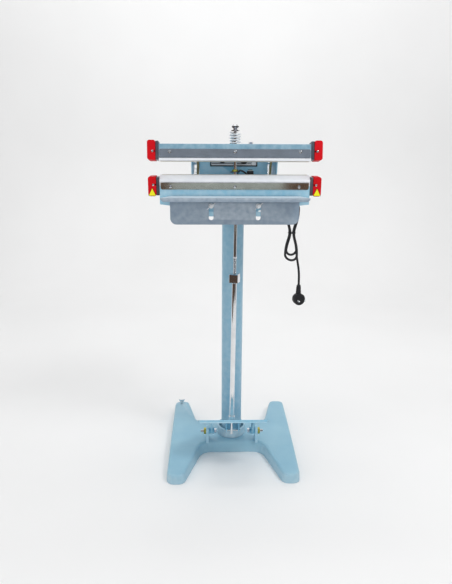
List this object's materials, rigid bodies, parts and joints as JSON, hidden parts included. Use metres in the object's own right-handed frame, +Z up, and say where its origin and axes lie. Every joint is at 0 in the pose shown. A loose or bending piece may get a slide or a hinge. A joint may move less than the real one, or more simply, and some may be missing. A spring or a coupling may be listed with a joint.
{
  "type": "foot-operated impulse heat sealer",
  "caption": "Pedestal impulse heat sealer: a pedal and pull rod close a pair of sealing jaws over an adjustable work tray.",
  "frame": {"origin": "on the floor, at the middle of the base", "axes": "+X to the operator's right, +Y away from the operator, +Z up"},
  "size_m": [0.465, 0.448, 1.0081],
  "materials": {
    "aluminium": "extruded satin",
    "black_cord": "extruded matt",
    "black_plastic": "moulded",
    "blue_enamel": "gloss enamel",
    "chrome": "plated",
    "circuit_board": "laminate",
    "column_enamel": "gloss enamel",
    "copper_winding": "enamelled copper wire",
    "dark_steel": "dark oxide",
    "grey_panel": "printed",
    "lead_sleeve": "braided sleeve",
    "polished_steel": "polished",
    "red_cover": "moulded",
    "sealing_cloth": "coated glass cloth",
    "tray_enamel": "satin enamel",
    "yellow_zinc": "yellow zinc plated"
  },
  "bodies": {
    "root": {"base_casting": "blue_enamel", "cable_gland": "black_plastic", "column_socket": "blue_enamel", "column_tube": "column_enamel", "control_panel": "grey_panel", "cord_hank": "black_cord", "cord_lead": "black_cord", "cord_tail": "black_cord", "head_frame": "blue_enamel", "head_housing": "blue_enamel", "heating_lead_left": "lead_sleeve", "heating_lead_right": "lead_sleeve", "housing_rear_cover": "blue_enamel", "jaw_shaft": "chrome", "lower_clamp_strip": "polished_steel", "lower_end_bracket_left": "dark_steel", "lower_end_bracket_right": "dark_steel", "lower_end_cover_left": "red_cover", "lower_end_cover_right": "red_cover", "lower_jaw_body": "blue_enamel", "lower_sealing_bar": "aluminium", "lower_sealing_cloth": "sealing_cloth", "mains_plug": "black_plastic", "pedal_ear_left": "blue_enamel", "pedal_ear_right": "blue_enamel", "pivot_bolt_left": "chrome", "pivot_bolt_right": "chrome", "pivot_nut_left": "yellow_zinc", "pivot_nut_right": "yellow_zinc", "return_spring_left": "chrome", "return_spring_right": "chrome", "switch_body": "black_plastic", "timer_board": "circuit_board", "transformer_core": "dark_steel", "transformer_winding": "copper_winding"},
    "pedal": {"pedal_plate": "blue_enamel"},
    "pull_rod": {"pull_rod_lower": "chrome", "pull_rod_upper": "chrome", "rod_pin": "chrome", "spring_spindle": "chrome", "spring_washer": "chrome", "pressure_spring": "chrome"},
    "coupling_block": {"coupling_block": "chrome"},
    "pressure_nut": {"pressure_nut": "chrome"},
    "upper_jaw": {"upper_sealing_bar": "aluminium", "upper_jaw_cover": "blue_enamel", "upper_clamp_strip": "polished_steel", "upper_frame": "blue_enamel", "upper_end_bracket_left": "dark_steel", "upper_end_bracket_right": "dark_steel", "upper_end_cover_left": "red_cover", "upper_end_cover_right": "red_cover"},
    "switch_screw": {"switch_screw": "chrome"},
    "tray": {"tray": "tray_enamel"},
    "wing_left": {"wing_screw_left": "chrome"},
    "wing_right": {"wing_screw_right": "chrome"},
    "timer_knob": {"timer_knob": "black_plastic"},
    "power_rocker": {"power_rocker": "black_plastic"},
    "switch_lever": {"switch_lever": "chrome"},
    "levelling_screw": {"levelling_screw": "chrome"}
  },
  "joints": [
    {"name": "pedal_hinge", "type": "hinge", "parent": "root", "child": "pedal", "pos_m": [0, -0.049, 0.073], "axis": [1, 0, 0], "range_deg": [0, 29.3], "stiffness_Nm_per_rad": 6, "springref_deg": -45.84},
    {"name": "rod_hinge", "type": "hinge", "parent": "pedal", "child": "pull_rod", "pos_m": [0, -0.098, 0.105], "axis": [1, 0, 0], "range_deg": [-29.8, 0]},
    {"name": "jaw_hinge", "type": "hinge", "parent": "root", "child": "upper_jaw", "pos_m": [0, 0.112, 0.895], "axis": [1, 0, 0], "range_deg": [0, 9.8], "deforming": ["heating_lead_left", "heating_lead_right", "return_spring_left", "return_spring_right"]},
    {"name": "block_turn", "type": "hinge", "parent": "pull_rod", "child": "coupling_block", "pos_m": [0.003, -0.0713, 0.58255], "axis": [0.0125, 0.0558, 0.9984], "continuous": true},
    {"name": "pressure_nut_turn", "type": "hinge", "parent": "pull_rod", "child": "pressure_nut", "pos_m": [0.002, -0.04832, 0.99361], "axis": [0, 0.0558, 0.9984], "continuous": true},
    {"name": "switch_screw_turn", "type": "hinge", "parent": "upper_jaw", "child": "switch_screw", "pos_m": [0.045, -0.05135, 0.93336], "axis": [0, 0.1702, 0.9854], "continuous": true},
    {"name": "tray_height", "type": "slide", "parent": "root", "child": "tray", "axis": [0, 0, 1], "range_m": [0, 0.033]},
    {"name": "wing_left_turn", "type": "hinge", "parent": "root", "child": "wing_left", "pos_m": [-0.064, -0.115, 0.797], "axis": [0, 1, 0], "continuous": true},
    {"name": "wing_right_turn", "type": "hinge", "parent": "root", "child": "wing_right", "pos_m": [0.064, -0.115, 0.797], "axis": [0, 1, 0], "continuous": true},
    {"name": "timer_turn", "type": "hinge", "parent": "root", "child": "timer_knob", "pos_m": [0.028, -0.013, 0.912], "axis": [0, 1, 0], "range_deg": [0, 270]},
    {"name": "power_press", "type": "hinge", "parent": "root", "child": "power_rocker", "pos_m": [-0.032, -0.013, 0.912], "axis": [1, 0, 0], "range_deg": [-10, 0]},
    {"name": "switch_press", "type": "hinge", "parent": "root", "child": "switch_lever", "pos_m": [0.044, -0.064, 0.8866], "axis": [1, 0, 0], "range_deg": [-3, 0], "stiffness_Nm_per_rad": 0.05, "springref_deg": 5.73},
    {"name": "levelling_turn", "type": "hinge", "parent": "root", "child": "levelling_screw", "pos_m": [-0.172, 0.203, 0.03], "axis": [0, 0, 1], "continuous": true}
  ],
  "couplings": [
    {"joint": "rod_hinge", "follows": "pedal_hinge", "ratio": -1.0157},
    {"joint": "jaw_hinge", "follows": "pedal_hinge", "ratio": 0.33445}
  ]
}
